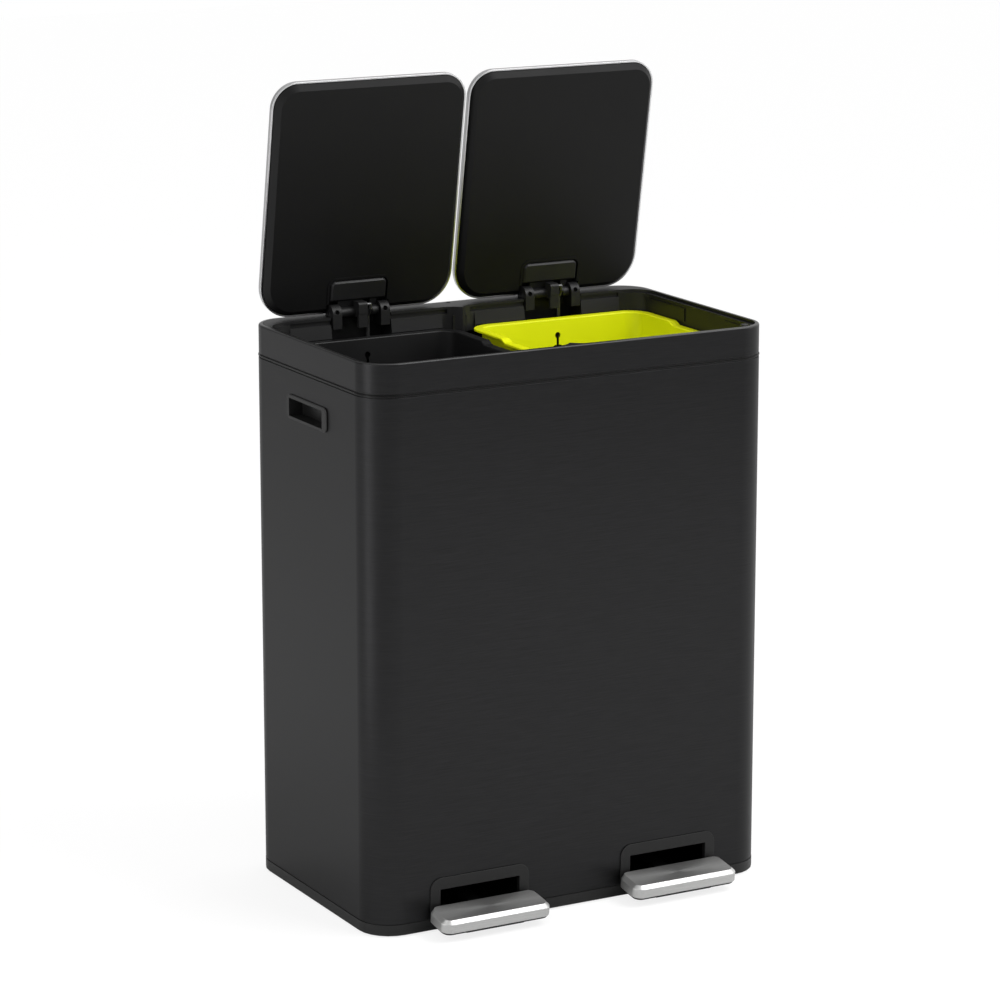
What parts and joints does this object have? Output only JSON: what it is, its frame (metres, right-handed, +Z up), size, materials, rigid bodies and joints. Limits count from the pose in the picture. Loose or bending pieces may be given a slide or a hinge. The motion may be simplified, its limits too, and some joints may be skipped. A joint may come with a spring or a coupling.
{
  "type": "pedal bin, double, for recycling",
  "caption": "Double recycling pedal bin: dark brushed steel housing, black collar and base, two hinged lids worked by steel pedals, lift-out buckets in black and lime.",
  "frame": {"origin": "on the floor under the middle of the whole bin's box, pedals and open lids included", "axes": "+X to the right along the front, +Y to the back, +Z up"},
  "size_m": [0.504, 0.3504, 0.9063],
  "materials": {
    "housing_steel": "dark anthracite, brushed along the width, satin",
    "edge_steel": "fine brushed, bright",
    "pedal_steel": "brushed along the width, bright",
    "wire_steel": "blackened wire and folded sheet, satin",
    "black_plastic": "moulded, fine grain, satin",
    "lime_plastic": "moulded, smooth, satin",
    "rubber": "matte"
  },
  "bodies": {
    "housing": {"base_tray": "black_plastic", "foot_front_left": "rubber", "foot_front_right": "rubber", "foot_rear_left": "rubber", "foot_rear_right": "rubber", "bucket_shelf": "black_plastic", "body_shell": "housing_steel", "trim_ring": "housing_steel", "rim_band": "housing_steel", "rim_plug": "rubber", "collar": "black_plastic", "handle_cup_left": "black_plastic", "lid_bumper_left": "rubber", "pedal_bezel_left": "black_plastic", "hinge_block_left": "black_plastic", "hinge_pin_outer_left": "wire_steel", "hinge_pin_inner_left": "wire_steel", "lever_bracket_left": "wire_steel", "lever_axle_left": "wire_steel", "handle_cup_right": "black_plastic", "lid_bumper_right": "rubber", "pedal_bezel_right": "black_plastic", "hinge_block_right": "black_plastic", "hinge_pin_outer_right": "wire_steel", "hinge_pin_inner_right": "wire_steel", "lever_bracket_right": "wire_steel", "lever_axle_right": "wire_steel"},
    "lid_left": {"lid_skin_left": "edge_steel", "lid_panel_left": "black_plastic", "hinge_leaf_left": "black_plastic"},
    "pedal_left": {"pedal_lever_left": "wire_steel", "pedal_cap_left": "pedal_steel", "pedal_carrier_left": "black_plastic", "pedal_shoe_left": "rubber"},
    "rod_left": {"push_rod_left": "wire_steel"},
    "bin_left": {"bucket_left": "black_plastic"},
    "lid_right": {"lid_skin_right": "edge_steel", "lid_panel_right": "black_plastic", "hinge_leaf_right": "black_plastic"},
    "pedal_right": {"pedal_lever_right": "wire_steel", "pedal_cap_right": "pedal_steel", "pedal_carrier_right": "black_plastic", "pedal_shoe_right": "rubber"},
    "rod_right": {"push_rod_right": "wire_steel"},
    "bin_right": {"bucket_right": "lime_plastic"}
  },
  "joints": [
    {"name": "lid_hinge_left", "type": "hinge", "parent": "housing", "child": "lid_left", "pos_m": [-0.1235, 0.15105, 0.639], "axis": [1, 0, 0], "range_deg": [0, 82]},
    {"name": "pedal_hinge_left", "type": "hinge", "parent": "housing", "child": "pedal_left", "pos_m": [-0.1203, 0.01784, 0.04], "axis": [1, 0, 0], "range_deg": [-8, 0]},
    {"name": "rod_hook_left", "type": "hinge", "parent": "lid_left", "child": "rod_left", "pos_m": [-0.1135, 0.14049, 0.64788], "axis": [1, 0, 0], "range_deg": [-82, 0]},
    {"name": "bucket_lift_left", "type": "slide", "parent": "housing", "child": "bin_left", "axis": [0, 0, 1], "range_m": [0, 0.008]},
    {"name": "lid_hinge_right", "type": "hinge", "parent": "housing", "child": "lid_right", "pos_m": [0.1235, 0.15105, 0.639], "axis": [1, 0, 0], "range_deg": [0, 82]},
    {"name": "pedal_hinge_right", "type": "hinge", "parent": "housing", "child": "pedal_right", "pos_m": [0.1203, 0.01784, 0.04], "axis": [1, 0, 0], "range_deg": [-8, 0]},
    {"name": "rod_hook_right", "type": "hinge", "parent": "lid_right", "child": "rod_right", "pos_m": [0.1335, 0.14049, 0.64788], "axis": [1, 0, 0], "range_deg": [-82, 0]},
    {"name": "bucket_lift_right", "type": "slide", "parent": "housing", "child": "bin_right", "axis": [0, 0, 1], "range_m": [0, 0.008]}
  ],
  "couplings": [
    {"joint": "pedal_hinge_left", "follows": "lid_hinge_left", "ratio": -0.097561},
    {"joint": "rod_hook_left", "follows": "lid_hinge_left", "ratio": -1},
    {"joint": "pedal_hinge_right", "follows": "lid_hinge_right", "ratio": -0.097561},
    {"joint": "rod_hook_right", "follows": "lid_hinge_right", "ratio": -1}
  ]
}
